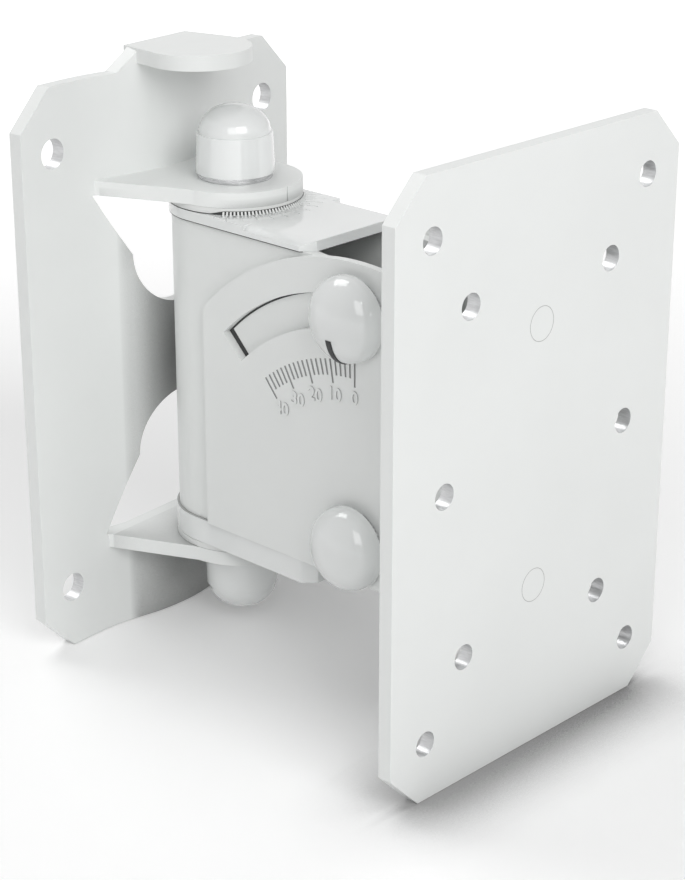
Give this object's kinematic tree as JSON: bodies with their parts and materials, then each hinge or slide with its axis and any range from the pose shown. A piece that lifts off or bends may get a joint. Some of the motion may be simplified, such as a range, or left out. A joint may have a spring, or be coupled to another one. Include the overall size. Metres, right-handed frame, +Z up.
{
  "type": "speaker wall bracket",
  "caption": "White steel wall bracket for a loudspeaker: lanced wall plate, housing that swivels between its ears, and a drilled plate that tilts on slotted cheeks.",
  "frame": {"origin": "middle of the wall plate's back, in the plane of the wall", "axes": "+X away from the wall, +Y to the right for someone who faces the wall, +Z up"},
  "size_m": [0.1392, 0.114, 0.1638],
  "materials": {
    "white_coat": "white powder coat, satin",
    "white_plastic": "satin white plastic",
    "disc_plastic": "satin white plastic",
    "black_ink": "black inlay",
    "zinc": "bright zinc plated steel"
  },
  "bodies": {
    "wall_side": {"wall_plate": "white_coat", "swivel_discs": "disc_plastic", "swivel_bolt": "zinc", "swivel_nut": "zinc", "swivel_washers": "zinc", "swivel_cap_upper": "white_plastic", "swivel_cap_lower": "white_plastic"},
    "swivel_side": {"swivel_housing": "white_coat", "top_cover": "white_plastic", "bottom_cover": "white_plastic", "pivot_cap_near": "white_plastic", "pivot_cap_far": "white_plastic", "lock_cap_near": "white_plastic", "lock_cap_far": "white_plastic", "tilt_index": "black_ink", "swivel_sleeve": "zinc", "pivot_bolt": "zinc", "pivot_nut": "zinc", "pivot_washers": "zinc", "pivot_sleeve": "zinc", "lock_bolt": "zinc", "lock_nut": "zinc", "lock_washers": "zinc", "lock_sleeve": "zinc"},
    "speaker_side": {"tilt_bracket": "white_coat", "speaker_plate": "white_coat", "plate_rivets": "white_coat"}
  },
  "joints": [
    {"name": "swivel", "type": "hinge", "parent": "wall_side", "child": "swivel_side", "pos_m": [0.03, 0, 0], "axis": [0, 0, 1], "range_deg": [-55, 65]},
    {"name": "tilt", "type": "hinge", "parent": "swivel_side", "child": "speaker_side", "pos_m": [0.09176, -0.0054, -0.0305], "axis": [0.0872, 0.9962, 0], "range_deg": [0, 40]}
  ]
}
